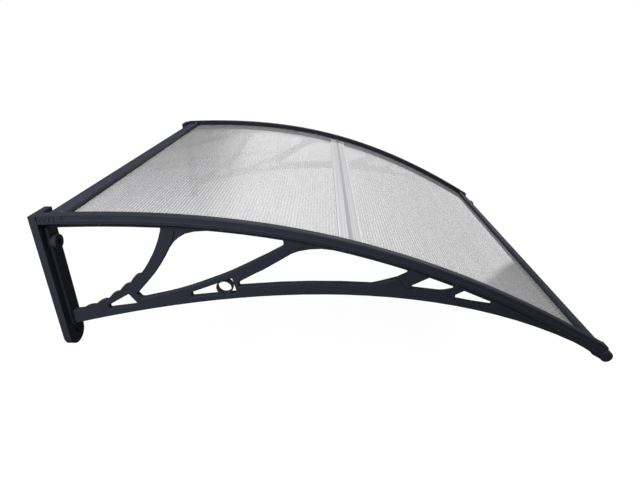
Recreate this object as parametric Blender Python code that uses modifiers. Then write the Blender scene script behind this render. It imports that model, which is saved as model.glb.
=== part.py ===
"""Polycarbonate door canopy: two moulded brackets carry an arched twin-wall roof.

The wall is the plane Y = 0 and the canopy reaches out along -Y. X runs along the wall and Z is up.
The origin lies on the wall, midway between the brackets, at the height where the roof's curve starts.
Run with: blender --background --python part.py
"""

import bpy
import bmesh
from math import atan2, cos, pi, radians, sin
from mathutils import Vector

# Roof curve, measured on the sheets' upper face: distance out from the wall, height
ARCH_REACH = 1.000
ARCH_DROP = 0.265
ARCH_REAR_HANDLE = (0.347, 0.059)
ARCH_FRONT_HANDLE = (0.380, 0.875)

# Widths along the wall
CLEAR_WIDTH = 0.848
STRIP_WIDTH = 0.015
PLATE_WIDTH = 0.048

# Twin-wall sheets
SHEET_THICKNESS = 0.005
SHEET_SKIN = 0.0005
FLUTE_PITCH = 0.0058
FLUTE_RIB = 0.0004
SHEET_SIDE_COVER = 0.007

# Clear joint strip of H section
JOINT_REACH = 0.5155
JOINT_WIDTH = 0.0425
JOINT_WALL = 0.0012
JOINT_WEB = 0.0016
JOINT_LIP = 0.0011
JOINT_EDGE = 0.0007
JOINT_VALLEY = 0.0018

# Wall plate of a bracket
PLATE_DEPTH = 0.012
PLATE_TOP = 0.0114
PLATE_LENGTH = 0.2584
RIB_WIDTH = 0.020
RIB_RISE = 0.005
BOSS_RADIUS = 0.0122
BOSS_LENGTH = 0.013
BOSS_DROP = 0.053
SLOT_WIDTH = 0.006
SLOT_LENGTH = 0.011

# Bearer under the sheet and the truss below it, measured square to the roof curve
TRUSS_THICKNESS = 0.012
MEMBER_EDGE = 0.0014
BEARER_SEAT = 0.0053
BEARER_OUTER_INSET = 0.0005
BEARER_SKIRT = 0.0028
BEARER_INNER_REACH = 0.012
BEARER_INNER_EDGE = 0.0075
BEARER_BOTTOM = 0.0140
TRUSS_TOP = 0.0080
TRUSS_CHORD = 0.0160

# Lower beam of the truss
BEAM_ROOT_UP = 0.0414
BEAM_ROOT_HANDLE = (0.323, 0.290)
BEAM_MERGE = 0.9405
BEAM_MERGE_HANDLE = (0.316, 0.561)
BEAM_DEPTH = 0.0230
TRUSS_ROUND = 0.0018
RING_SPOT = (0.2955, 0.184)
RING_RADIUS = 0.0147
RING_INSET = 0.0005
EYE_RADIUS = 0.0123
SCALLOP_RISE = 0.0008
SCALLOP_CREST = 0.48
WEB_INSET = 0.0016
WEB_TOP = 0.985

# Front end knob, and how the chord thickens ahead of it: share of the reach, added depth
KNOB_RADIUS = 0.0115
KNOB_LENGTH = 0.018
KNOB_AHEAD = 0.0065
KNOB_DROP = 0.0088
KNOB_ROUND = 0.0027
KNOB_NECK = 0.0104
TIP_SWELL = ((0.960, 0.0), (0.978, 0.0008), (0.984, 0.0035))

# Cover strips
STRIP_RISE = 0.0132
STRIP_RIM = 0.0024
STRIP_FACE_TOP = 0.0082
STRIP_GROOVE_TOP = 0.0098
STRIP_FACE_INSET = 0.0009
STRIP_GROOVE_INSET = 0.0016
STRIP_CROWN_ROUND = 0.0016
STRIP_NOSE_BACK = 0.0210
STRIP_UNDERCUT = 0.0030
STRIP_SHADOW = 0.0042
NOSE_RADIUS = 0.0066
NOSE_PROUD = 0.0004
STRIP_START = 0.0008
HEAD_LENGTH = 0.040
HEAD_GROOVES = 4
HEAD_GROOVE_FIRST = 0.0080
HEAD_GROOVE_PITCH = 0.0068
HEAD_GROOVE_WIDTH = 0.0026
HEAD_GROOVE_HEIGHT = 0.0094
HEAD_GROOVE_MIDDLE = 0.0053
HEAD_GROOVE_DEPTH = 0.0012
HEAD_GROOVE_LEAN = 52.0
HEAD_GROOVE_TURN = 13.0

# Rails along the wall and along the front
RAIL_DEPTH = 0.027
RAIL_RISE = 0.0076
RAIL_WALL = 0.0014
RAIL_LIP_DEPTH = 0.016
RAIL_LIP_WALL = 0.0013
RAIL_REACH = 0.019
FRONT_RAIL_BACK = 0.0235
RIDGE_WIDTH = 0.0045
RIDGE_RISE = 0.0016
GASKET_THICKNESS = 0.0012
GASKET_SHOW = 0.0012
SEAT_CLEARANCE = 0.0004

# Screws
RAIL_SCREW_SHANK = 0.0040
RAIL_SCREW_HEAD = 0.0078
RAIL_SCREW_HEAD_RISE = 0.0022
RAIL_SCREW_LENGTH = 0.0200
RAIL_SCREW_SETBACK = 0.0065
CLAMP_SCREW_SHANK = 0.0030
CLAMP_SCREW_HEAD = 0.0058
CLAMP_SCREW_HEAD_RISE = 0.0018
CLAMP_SCREW_LENGTH = 0.0120
CLAMP_SCREWS = 5
CLAMP_FIRST = 0.110
CLAMP_LAST_BACK = 0.110
CLAMP_SEAT = 0.0036
CLAMP_POCKET = 0.010

# Gap left between pieces that touch
GAP = 0.0003
# How far shapes of one moulding run into each other before they are joined
OVERLAP = 0.002
# How far a cutter runs past the surface it opens
CUT_PAST = 0.004

# Fineness of the curved pieces: step along the curve, steps round an arc, flutes to one facet
TRUSS_STEP = 0.042
STRIP_STEP = 0.030
HEAD_STEP = 0.010
BEAM_STEPS = 24
ROUND_STEPS = 4
SCALLOP_STEPS = 5
PLATE_END_STEPS = 16
SLOT_STEPS = 8
FLUTES_PER_FACET = 4
ALMOST_STRAIGHT = radians(158)
CORNER_SHARE = 0.45

SIDES = {"left": -1, "right": 1}
RAILS = {"wall": False, "front": True}
COLLECTION = "door_canopy"
CUTTERS = "cutters"


def clear_scene():
    """Remove every object of the open scene."""
    for item in list(bpy.data.objects):
        bpy.data.objects.remove(item, do_unlink=True)


def collection(name):
    """Return the named collection, made and linked when it is missing."""
    found = bpy.data.collections.get(name)
    if found is None:
        found = bpy.data.collections.new(name)
        bpy.context.scene.collection.children.link(found)
    return found


def material(name, colour, roughness, metallic=0.0, transmission=0.0):
    """Return a Principled material."""
    made = bpy.data.materials.new(name)
    made.use_nodes = True
    made.diffuse_color = (*colour, 1.0)
    shader = made.node_tree.nodes["Principled BSDF"]
    shader.inputs["Base Color"].default_value = (*colour, 1.0)
    shader.inputs["Roughness"].default_value = roughness
    shader.inputs["Metallic"].default_value = metallic
    shader.inputs["Transmission Weight"].default_value = transmission
    return made


class Curve:
    """A cubic curve of the side view, as distance out from the wall and height."""

    def __init__(self, start, end, size, leave, arrive):
        """Handles leave the start and go back from the end by shares of a size."""
        self.start = Vector(start)
        self.end = Vector(end)
        self.rear = self.start + Vector((size[0] * leave[0], size[1] * leave[1]))
        self.front = self.end + Vector((-size[0] * arrive[0], size[1] * arrive[1]))

    def point(self, share):
        """Point at a share of the curve's parameter, run on straight past either end."""
        held = min(max(share, 0.0), 1.0)
        rest = 1.0 - held
        place = (self.start * rest ** 3 + self.rear * 3 * held * rest ** 2
                 + self.front * 3 * held ** 2 * rest + self.end * held ** 3)
        return place + self.slope(held) * (share - held)

    def slope(self, share):
        """Derivative of the curve at a share of its parameter."""
        held = min(max(share, 0.0), 1.0)
        rest = 1.0 - held
        return ((self.rear - self.start) * 3 * rest ** 2
                + (self.front - self.rear) * 6 * held * rest
                + (self.end - self.front) * 3 * held ** 2)

    def share_at(self, reach):
        """Parameter at which the curve is a given distance from the wall."""
        low, high = -0.2, 1.2
        for _ in range(50):
            middle = (low + high) / 2
            if self.point(middle).x < reach:
                low = middle
            else:
                high = middle
        return (low + high) / 2

    def angle(self, reach):
        """Slope angle at a distance from the wall."""
        tangent = self.slope(self.share_at(reach))
        return atan2(tangent.y, tangent.x)

    def at(self, reach, rise=0.0, along=0.0):
        """Point square off the curve at a distance from the wall, moved along its tangent."""
        share = self.share_at(reach)
        tangent = self.slope(share).normalized()
        normal = Vector((-tangent.y, tangent.x))
        return self.point(share) + normal * rise + tangent * along

    def stations(self, first, last, step):
        """Distances from the wall that walk the curve in equal steps of its length."""
        places = [first]
        share_last = self.share_at(last)
        share = self.share_at(first)
        length = 0.0
        walk = 4000
        previous = self.point(share)
        lengths = []
        for index in range(1, walk + 1):
            now = self.point(share + (share_last - share) * index / walk)
            length += (now - previous).length
            lengths.append((length, now.x))
            previous = now
        count = max(int(round(length / step)), 1)
        wanted = [length * index / count for index in range(1, count)]
        cursor = 0
        for target in wanted:
            while lengths[cursor][0] < target:
                cursor += 1
            places.append(lengths[cursor][1])
        places.append(last)
        return places


ROOF = Curve((0.0, 0.0), (ARCH_REACH, -ARCH_DROP), (ARCH_REACH, ARCH_DROP),
             ARCH_REAR_HANDLE, ARCH_FRONT_HANDLE)

BRACKET_X = CLEAR_WIDTH / 2 + STRIP_WIDTH - PLATE_WIDTH / 2
STRIP_X = CLEAR_WIDTH / 2 + STRIP_WIDTH / 2
SHEET_EDGE = CLEAR_WIDTH / 2 + SHEET_SIDE_COVER
BEARER_OUTER = PLATE_WIDTH / 2 - BEARER_OUTER_INSET
CLAMP_X = (SHEET_EDGE + GAP + BRACKET_X + BEARER_OUTER) / 2
PLATE_BOTTOM = PLATE_TOP - PLATE_LENGTH
LOWER_SLOT_Z = PLATE_BOTTOM + PLATE_WIDTH / 2
BOSS_Z = PLATE_TOP - BOSS_DROP
FRONT_RAIL_REACH = ARCH_REACH - FRONT_RAIL_BACK
WALL_RAIL_MIDDLE = RAIL_REACH + RAIL_DEPTH / 2

BEAM_ROOT = Vector((PLATE_DEPTH, PLATE_BOTTOM + BEAM_ROOT_UP))
BEAM_FRONT = ROOF.at(ARCH_REACH * BEAM_MERGE, -TRUSS_CHORD)
BEAM = Curve(BEAM_ROOT, BEAM_FRONT, (BEAM_FRONT.x - BEAM_ROOT.x, PLATE_LENGTH),
             BEAM_ROOT_HANDLE, BEAM_MERGE_HANDLE)

SIDE_VIEW = (radians(90), 0.0, radians(-90))
FRONT_VIEW = (radians(90), 0.0, 0.0)
ALONG_X = (0.0, radians(90), 0.0)


def beam_low(reach):
    """Height of the truss's lower edge at a distance from the wall."""
    return BEAM.point(BEAM.share_at(reach)).y


def chord_under(reach):
    """Height of the arched chord's underside at a distance from the wall."""
    low, high = reach - 2 * TRUSS_CHORD, reach + 2 * TRUSS_CHORD
    for _ in range(40):
        middle = (low + high) / 2
        place = ROOF.at(middle, -TRUSS_CHORD)
        if place.x < reach:
            low = middle
        else:
            high = middle
    return place.y


def rounded_loop(corners, radius, steps=ROUND_STEPS):
    """Return a closed loop whose sharp corners are turned into arcs of one radius."""
    loop = []
    count = len(corners)
    for index, corner in enumerate(corners):
        here = Vector(corner)
        before = Vector(corners[index - 1])
        after = Vector(corners[(index + 1) % count])
        back = before - here
        ahead = after - here
        turn = back.angle(ahead)
        if turn > ALMOST_STRAIGHT:
            loop.append(here)
            continue
        reach = min(radius / abs(sin(turn / 2)) * cos(turn / 2),
                    back.length * CORNER_SHARE, ahead.length * CORNER_SHARE)
        first = here + back.normalized() * reach
        last = here + ahead.normalized() * reach
        for step in range(steps + 1):
            share = step / steps
            rest = 1.0 - share
            loop.append(first * rest ** 2 + here * 2 * share * rest + last * share ** 2)
    return loop


def circle_loop(centre, radius, steps=20):
    """Return a closed loop round a centre."""
    return [Vector(centre) + Vector((cos(2 * pi * step / steps), sin(2 * pi * step / steps))) * radius
            for step in range(steps)]


def smooth_points(points, steps=4):
    """Return a smooth open run through a few points, as Catmull-Rom pieces."""
    run = []
    guides = [Vector(point) for point in points]
    guides = [guides[0] * 2 - guides[1]] + guides + [guides[-1] * 2 - guides[-2]]
    for index in range(1, len(guides) - 2):
        before, here, there, after = guides[index - 1:index + 3]
        for step in range(steps):
            share = step / steps
            run.append(0.5 * (here * 2 + (there - before) * share
                              + (before * 2 - here * 5 + there * 4 - after) * share ** 2
                              + (here * 3 - before - there * 3 + after) * share ** 3))
    run.append(guides[-2])
    return run


def link_mesh(name, mesh, home):
    """Put a mesh into the scene as an object of a collection."""
    made = bpy.data.objects.new(name, mesh)
    collection(home).objects.link(made)
    if home == CUTTERS:
        made.hide_render = True
        made.display_type = "WIRE"
    return made


def outline_solid(name, loops, thickness, location, rotation, home=COLLECTION, edge=0.0):
    """Extrude flat closed loops, the later ones being holes, into a solid with chamfered rims."""
    curve = bpy.data.curves.new(name, "CURVE")
    curve.dimensions = "2D"
    curve.fill_mode = "BOTH"
    curve.extrude = thickness / 2 - edge
    curve.bevel_depth = edge
    curve.bevel_resolution = 0
    curve.offset = -edge
    for loop in loops:
        spline = curve.splines.new("POLY")
        spline.points.add(len(loop) - 1)
        for point, place in zip(spline.points, loop):
            point.co = (place[0], place[1], 0.0, 1.0)
        spline.use_cyclic_u = True
    drawn = bpy.data.objects.new(name + "_outline", curve)
    drawn.location = location
    drawn.rotation_euler = rotation
    return solid_from_curve(name, drawn, home)


def swept_solid(name, section, path, centre_x, home=COLLECTION):
    """Sweep a section, given as offset across and height above, along a path in the side view."""
    profile = bpy.data.curves.new(name + "_section", "CURVE")
    profile.dimensions = "2D"
    spline = profile.splines.new("POLY")
    spline.points.add(len(section) - 1)
    for point, place in zip(spline.points, section):
        point.co = (-place[0], place[1], 0.0, 1.0)
    spline.use_cyclic_u = True
    profile_object = bpy.data.objects.new(name + "_section", profile)
    bpy.context.scene.collection.objects.link(profile_object)

    curve = bpy.data.curves.new(name, "CURVE")
    curve.dimensions = "3D"
    curve.twist_mode = "Z_UP"
    curve.bevel_mode = "OBJECT"
    curve.bevel_object = profile_object
    curve.use_fill_caps = True
    line = curve.splines.new("POLY")
    line.points.add(len(path) - 1)
    for point, place in zip(line.points, path):
        point.co = (0.0, -place[0], place[1], 1.0)
    drawn = bpy.data.objects.new(name + "_path", curve)
    drawn.location = (centre_x, 0.0, 0.0)
    made = solid_from_curve(name, drawn, home)
    bpy.data.objects.remove(profile_object, do_unlink=True)
    return made


def solid_from_curve(name, drawn, home):
    """Turn a filled curve object into a welded mesh object in the same place."""
    bpy.context.scene.collection.objects.link(drawn)
    bpy.context.view_layer.update()
    graph = bpy.context.evaluated_depsgraph_get()
    mesh = bpy.data.meshes.new_from_object(drawn.evaluated_get(graph))
    mesh.name = name
    work = bmesh.new()
    work.from_mesh(mesh)
    bmesh.ops.remove_doubles(work, verts=work.verts, dist=0.000002)
    bmesh.ops.recalc_face_normals(work, faces=work.faces)
    work.to_mesh(mesh)
    work.free()
    made = link_mesh(name, mesh, home)
    made.matrix_world = drawn.matrix_world
    bpy.data.objects.remove(drawn, do_unlink=True)
    return made


def side_solid(name, loops, centre_x, thickness, home=COLLECTION, edge=0.0):
    """Extrude loops drawn as distance from the wall and height, along X."""
    return outline_solid(name, loops, thickness, (centre_x, 0.0, 0.0), SIDE_VIEW, home, edge)


def cylinder(name, radius, depth, location, rotation, home=CUTTERS, vertices=20):
    """Add a cylinder centred on its location."""
    bpy.ops.mesh.primitive_cylinder_add(vertices=vertices, radius=radius, depth=depth,
                                        location=location, rotation=rotation)
    made = bpy.context.object
    made.name = name
    return rehome(made, home)


def box(name, size, location, rotation=(0.0, 0.0, 0.0), home=CUTTERS):
    """Add a box centred on its location, with its scale applied."""
    bpy.ops.mesh.primitive_cube_add(size=1.0, location=location, rotation=rotation)
    made = bpy.context.object
    made.name = name
    for vertex in made.data.vertices:
        vertex.co = Vector((vertex.co[axis] * size[axis] for axis in range(3)))
    return rehome(made, home)


def rehome(made, home):
    """Move an object into one collection."""
    for old in list(made.users_collection):
        old.objects.unlink(made)
    collection(home).objects.link(made)
    if home == CUTTERS:
        made.hide_render = True
        made.display_type = "WIRE"
    return made


def boolean(target, other, operation):
    """Add an exact Boolean of another object to a target."""
    step = target.modifiers.new(operation.lower() + "_" + other.name, "BOOLEAN")
    step.operation = operation
    step.object = other
    step.solver = "EXACT"


def dress(made, finish, smooth_angle=35.0):
    """Give an object its material and smooth shading with sharp edges."""
    made.data.materials.clear()
    made.data.materials.append(finish)
    made.data.shade_smooth()
    made.data.set_sharp_from_angle(angle=radians(smooth_angle))


def slot_cutter(name, centre_x, centre_z):
    """Add the cutter of an upright fixing slot through a wall plate and all that stands on it."""
    half = (SLOT_LENGTH - SLOT_WIDTH) / 2
    loop = []
    for end in (1, -1):
        for step in range(SLOT_STEPS + 1):
            turn = pi * step / SLOT_STEPS
            loop.append(Vector((cos(turn), sin(turn))) * end * SLOT_WIDTH / 2 + Vector((0.0, end * half)))
    depth = 2 * (PLATE_DEPTH + BOSS_LENGTH + CUT_PAST)
    return outline_solid(name, [loop], depth, (centre_x, 0.0, centre_z), FRONT_VIEW, CUTTERS)


def plate_solid(name, centre_x):
    """Wall plate with a square top and a round lower end."""
    half = PLATE_WIDTH / 2
    loop = [Vector((-half, PLATE_TOP))]
    for step in range(PLATE_END_STEPS + 1):
        turn = pi + pi * step / PLATE_END_STEPS
        loop.append(Vector((cos(turn) * half, LOWER_SLOT_Z + sin(turn) * half)))
    loop.append(Vector((half, PLATE_TOP)))
    return outline_solid(name, [loop], PLATE_DEPTH, (centre_x, -PLATE_DEPTH / 2, 0.0), FRONT_VIEW, CUTTERS)


def spot(share, up):
    """Point of the truss: a share of the reach, and of the way up from its lower edge to the chord."""
    reach = share * ARCH_REACH
    low = beam_low(reach)
    return Vector((reach, low + (chord_under(reach) - low) * up))


def over_beam(share):
    """Point of the lower beam's upper edge at a share of the reach."""
    reach = share * ARCH_REACH
    return Vector((reach, beam_low(reach) + BEAM_DEPTH))


def spots(pairs, steps=1):
    """Points of the truss for pairs of shares, as a smooth run when steps is above one."""
    points = [spot(*pair) for pair in pairs]
    return smooth_points(points, steps) if steps > 1 else points


def scallops():
    """Wavy upper edge from the beam's root up to the curved strut: each wave rises and flattens."""
    feet = spots(((0.0362, 0.134), (0.0595, 0.149), (0.0850, 0.188), (0.1070, 0.256), (0.1300, 0.337),
                  (0.1500, 0.439)))
    run = []
    for foot, after in zip(feet, feet[1:]):
        crest = Vector((foot.x + (after.x - foot.x) * SCALLOP_CREST, after.y + SCALLOP_RISE))
        for step in range(SCALLOP_STEPS):
            share = step / SCALLOP_STEPS
            rest = 1.0 - share
            run.append(foot * rest ** 2 + crest * 2 * share * rest + after * share ** 2)
    return run


def gap_behind():
    """Opening between the wall plate and the curved strut."""
    strut = spots(((0.1500, 0.439), (0.1550, 0.467), (0.1608, 0.511), (0.1690, 0.580), (0.1796, 0.687),
                   (0.1874, 0.783), (0.1940, 0.880), (0.2003, 1.000)))
    chord = spots(((0.150, 1.0), (0.100, 1.0), (0.050, 1.0)))
    rear = (PLATE_DEPTH + RIB_RISE / 2) / ARCH_REACH
    return scallops() + strut + chord + spots(((rear, 1.0), (rear, 0.141), (0.0280, 0.137)))


def gap_middle():
    """Long opening between the curved strut and the second strut."""
    strut = spots(((0.1400, 0.212), (0.1467, 0.252), (0.1623, 0.346), (0.1767, 0.439), (0.1882, 0.535),
                   (0.1984, 0.634), (0.2072, 0.733), (0.2188, 0.834), (0.2271, 0.886), (0.2390, 0.941),
                   (0.2560, 0.978), (0.2760, 1.0)))
    chord = spots(((0.300, 1.0), (0.335, 1.0), (0.370, 1.0), (0.4010, 1.0)))
    second = spots(((0.4014, 0.933), (0.3988, 0.874), (0.3504, 0.595), (0.3091, 0.416), (0.2742, 0.313),
                    (0.2316, 0.221), (0.1980, 0.179), (0.1756, 0.164), (0.1508, 0.150)), 2)
    return strut + chord + second + spots(((0.1452, 0.159),))


def gap_front():
    """Opening between the second strut, the chord and the third strut."""
    second = spots(((0.3215, 0.262), (0.3522, 0.403), (0.3642, 0.457), (0.3977, 0.664), (0.4149, 0.788),
                    (0.4265, 0.848), (0.4455, 0.920), (0.4650, 0.975), (0.4850, 1.0)))
    chord = spots(((0.515, 1.0), (0.550, 1.0), (0.585, 1.0), (0.6145, 1.0)))
    third = spots(((0.6135, 0.880), (0.5967, 0.643), (0.5678, 0.411)))
    return second + chord + third + [over_beam(share) for share in (0.553, 0.500, 0.445, 0.395, 0.3215)]


def small_gaps():
    """The four small openings: at the root, behind the ring and the two near the front."""
    root = spots(((0.0845, 0.086), (0.0845, 0.129), (0.1245, 0.225), (0.1395, 0.071)))
    ring = spots(((0.2365, 0.084), (0.2365, 0.153), (0.2750, 0.2335), (0.3100, 0.3225), (0.3165, 0.087)))
    third = spots(((0.6225, 0.400), (0.6225, 0.520), (0.6515, 1.0), (0.6975, 1.0), (0.6970, 0.830),
                   (0.6813, 0.604), (0.6719, 0.527), (0.6499, 0.459)))
    fourth = spots(((0.7005, 0.345), (0.7005, 0.600), (0.7150, 0.985), (0.7680, 0.985), (0.7680, 0.700),
                    (0.7348, 0.443)))
    return [root, ring, third, fourth]


def truss_openings():
    """The gaps of the truss, each a closed loop of distance from the wall and height."""
    loops = [gap_behind(), gap_middle(), gap_front()] + small_gaps()
    return [rounded_loop(loop, TRUSS_ROUND) for loop in loops]


def set_back_webs():
    """Parts thinner than the beam: scalloped ledge, gussets at two struts' tops, third and fourth strut."""
    ledge = spots(((0.0300, 0.136), (0.0505, 0.139), (0.0658, 0.148), (0.0815, 0.167), (0.0955, 0.195),
                   (0.1095, 0.231), (0.1237, 0.273), (0.1380, 0.328), (0.1495, 0.388), (0.1600, 0.500),
                   (0.1500, 0.600), (0.1200, 0.480), (0.0900, 0.360), (0.0550, 0.280), (0.0300, 0.240)))
    behind = spots(((0.2050, 0.690), (0.2103, 0.774), (0.2140, 0.824), (0.2168, 0.868), (0.2192, 0.912),
                    (0.2211, 0.956), (0.2222, WEB_TOP), (0.2500, WEB_TOP), (0.2750, WEB_TOP), (0.2600, 0.900),
                    (0.2380, 0.800), (0.2200, 0.690)))
    middle = spots(((0.4110, 0.745), (0.4235, 0.858), (0.4298, 0.929), (0.4350, WEB_TOP), (0.4600, WEB_TOP),
                    (0.4840, WEB_TOP), (0.4700, 0.900), (0.4500, 0.820), (0.4230, 0.720)))
    third = spots(((0.5900, 0.640), (0.6010, 0.600), (0.6055, 0.480), (0.6140, 0.365), (0.6270, 0.450),
                   (0.6400, 0.700), (0.6560, WEB_TOP), (0.6080, WEB_TOP), (0.5990, 0.760)))
    fourth = spots(((0.6780, 0.660), (0.6837, 0.588), (0.6870, 0.470), (0.6920, 0.410), (0.7020, 0.400),
                    (0.7060, 0.520), (0.7120, 0.760), (0.7200, WEB_TOP), (0.6930, WEB_TOP), (0.6900, 0.850)))
    return [ledge, behind, middle, third, fourth]


def truss_boundary():
    """The truss's outer edge, from the wall plate along the beam to the knob and back by the arch."""
    root = PLATE_DEPTH - OVERLAP
    loop = [Vector((root, beam_low(PLATE_DEPTH)))]
    for step in range(BEAM_STEPS + 1):
        reach = PLATE_DEPTH + (BEAM_FRONT.x - PLATE_DEPTH) * step / BEAM_STEPS
        loop.append(Vector((reach, beam_low(reach))))
    loop += [ROOF.at(ARCH_REACH * share, -TRUSS_CHORD - swell) for share, swell in TIP_SWELL]
    loop.append(ROOF.at(ARCH_REACH, -KNOB_DROP - KNOB_NECK, KNOB_AHEAD))
    loop.append(ROOF.at(ARCH_REACH, -KNOB_DROP, KNOB_AHEAD))
    reaches = ROOF.stations(root, ARCH_REACH, TRUSS_STEP)
    loop += [ROOF.at(reach, -TRUSS_TOP) for reach in reversed(reaches)]
    return loop


def bearer_solid(name, side, centre):
    """Bearer under the sheet's side: seat, spacer beside the sheet, skirt and foot on the truss."""
    outer = side * BEARER_OUTER
    wall = side * (SHEET_EDGE + GAP - BRACKET_X)
    inner = -side * BEARER_INNER_REACH
    foot = side * (TRUSS_THICKNESS / 2 - OVERLAP)
    section = [(outer, -GAP), (wall, -GAP), (wall, -BEARER_SEAT), (inner, -BEARER_SEAT),
               (inner, -BEARER_INNER_EDGE), (-foot, -BEARER_BOTTOM), (foot, -BEARER_BOTTOM),
               (outer, -BEARER_SKIRT)]
    reaches = ROOF.stations(PLATE_DEPTH - OVERLAP, ARCH_REACH - STRIP_NOSE_BACK, TRUSS_STEP)
    return swept_solid(name, section, [ROOF.at(reach) for reach in reaches], centre, CUTTERS)


def rib_solid(name, centre):
    """Upright rib that stiffens the wall plate between the beam and the chord."""
    low = beam_low(PLATE_DEPTH) + OVERLAP
    high = chord_under(PLATE_DEPTH) + OVERLAP
    return box(name, (RIB_WIDTH, RIB_RISE + OVERLAP, high - low),
               (centre, -(PLATE_DEPTH + (RIB_RISE - OVERLAP) / 2), (high + low) / 2))


def boss_solid(name, centre):
    """Round boss of the upper fixing, standing on the wall plate."""
    return cylinder(name, BOSS_RADIUS, BOSS_LENGTH + OVERLAP,
                    (centre, -(PLATE_DEPTH + (BOSS_LENGTH - OVERLAP) / 2), BOSS_Z), FRONT_VIEW,
                    vertices=24)


def knob_solid(name, centre):
    """Rounded knob across the bracket's front end."""
    place = ROOF.at(ARCH_REACH, -KNOB_DROP, KNOB_AHEAD)
    made = cylinder(name, KNOB_RADIUS, KNOB_LENGTH, (centre, -place.x, place.y), ALONG_X, vertices=24)
    edge = made.modifiers.new("rounded", "BEVEL")
    edge.width = KNOB_ROUND
    edge.segments = 2
    edge.limit_method = "ANGLE"
    return made


def build_bracket(side_name, side, holes, finish):
    """One bracket moulding: wall plate, boss, bearer, truss, ring and front knob."""
    centre = side * BRACKET_X
    name = "bracket_" + side_name
    made = side_solid(name, [truss_boundary()] + truss_openings(), centre, TRUSS_THICKNESS, edge=MEMBER_EDGE)
    ring_at = spot(*RING_SPOT)
    ring = side_solid(name + "_ring", [circle_loop(ring_at, RING_RADIUS)], centre,
                      TRUSS_THICKNESS - RING_INSET, CUTTERS)
    for added in (bearer_solid(name + "_bearer", side, centre), plate_solid(name + "_plate", centre),
                  rib_solid(name + "_rib", centre), boss_solid(name + "_boss", centre),
                  knob_solid(name + "_knob", centre), ring):
        boolean(made, added, "UNION")

    eye = cylinder(name + "_eye", EYE_RADIUS, TRUSS_THICKNESS * 2, (centre, -ring_at.x, ring_at.y), ALONG_X)
    slots = [slot_cutter(f"{name}_slot_{label}", centre, height)
             for label, height in (("lower", LOWER_SLOT_Z), ("upper", BOSS_Z))]
    webs = [side_solid(f"{name}_web_{number}_{face}", [loop], centre + face * TRUSS_THICKNESS / 2,
                       WEB_INSET * 2, CUTTERS)
            for number, loop in enumerate(set_back_webs()) for face in (-1, 1)]
    for cutter in [eye] + slots + webs + rail_seat_cutters(name, side) + holes.all:
        boolean(made, cutter, "DIFFERENCE")
    dress(made, finish)
    return made


def rail_frame(front):
    """Distance from the wall, at a rail's middle, of the roof curve below it."""
    if front:
        return FRONT_RAIL_REACH - RAIL_DEPTH / 2 * cos(ROOF.angle(FRONT_RAIL_REACH))
    return WALL_RAIL_MIDDLE


def rail_point(front, across, rise):
    """Side-view point of a rail: across runs from its outer edge in over the sheet."""
    middle = rail_frame(front)
    away = RAIL_DEPTH / 2 - across
    return ROOF.at(middle, rise, away if front else -away)


def rail_loops(front):
    """Section of a rail: hollow top over the sheet, closed back and a lower lip."""
    top = RAIL_RISE
    base = GASKET_THICKNESS + GAP
    lip_top = -SHEET_THICKNESS - GAP
    lip_low = lip_top - RAIL_LIP_WALL
    back = RAIL_WALL
    outer = [(0.0, lip_low), (RAIL_LIP_DEPTH, lip_low), (RAIL_LIP_DEPTH, lip_top), (back, lip_top),
             (back, base), (RAIL_DEPTH, base), (RAIL_DEPTH, top)]
    if front:
        ridge = RAIL_DEPTH / 2
        outer += [(ridge + RIDGE_WIDTH / 2, top), (ridge + RIDGE_WIDTH / 4, top + RIDGE_RISE),
                  (ridge - RIDGE_WIDTH / 4, top + RIDGE_RISE), (ridge - RIDGE_WIDTH / 2, top)]
    outer.append((0.0, top))
    wall = RAIL_WALL
    hollow = [(wall, base + wall), (wall, top - wall), (RAIL_DEPTH - wall, top - wall),
              (RAIL_DEPTH - wall, base + wall)]
    return [[rail_point(front, *place) for place in outer], [rail_point(front, *place) for place in hollow]]


def gasket_loop(front):
    """Section of the seal between a rail and the sheet."""
    low, high = GAP, GASKET_THICKNESS
    near, far = RAIL_WALL + GAP, RAIL_DEPTH + GASKET_SHOW
    return [rail_point(front, *place) for place in ((near, low), (far, low), (far, high), (near, high))]


def rail_seat_cutters(name, side):
    """Cutters that let a rail's lower lip and back into the bracket's bearer."""
    cutters = []
    low = -SHEET_THICKNESS - GAP - RAIL_LIP_WALL - SEAT_CLEARANCE
    edge = RAIL_LIP_DEPTH + SEAT_CLEARANCE
    rail_end = CLEAR_WIDTH / 2 - GAP + SEAT_CLEARANCE
    inside = BRACKET_X - PLATE_WIDTH
    for label, front in RAILS.items():
        loop = [rail_point(front, *place) for place in
                ((-SEAT_CLEARANCE, low), (edge, low), (edge, CUT_PAST), (-SEAT_CLEARANCE, CUT_PAST))]
        cutters.append(side_solid(f"{name}_{label}_seat", [loop], side * (rail_end + inside) / 2,
                                  rail_end - inside, CUTTERS))
    return cutters


def screw_tilt(angle):
    """Rotation that stands an upright shape square on the roof at a slope angle."""
    return (-angle, 0.0, 0.0)


def rail_screw_place(front):
    """Head seat of a rail screw: side-view point and slope angle."""
    across = RAIL_DEPTH - RAIL_SCREW_SETBACK
    return rail_point(front, across, RAIL_RISE), ROOF.angle(rail_frame(front))


def clamp_reaches():
    """Distances from the wall of the clamp screws."""
    last = ARCH_REACH - CLAMP_LAST_BACK
    step = (last - CLAMP_FIRST) / (CLAMP_SCREWS - 1)
    return [CLAMP_FIRST + step * index for index in range(CLAMP_SCREWS)]


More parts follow.
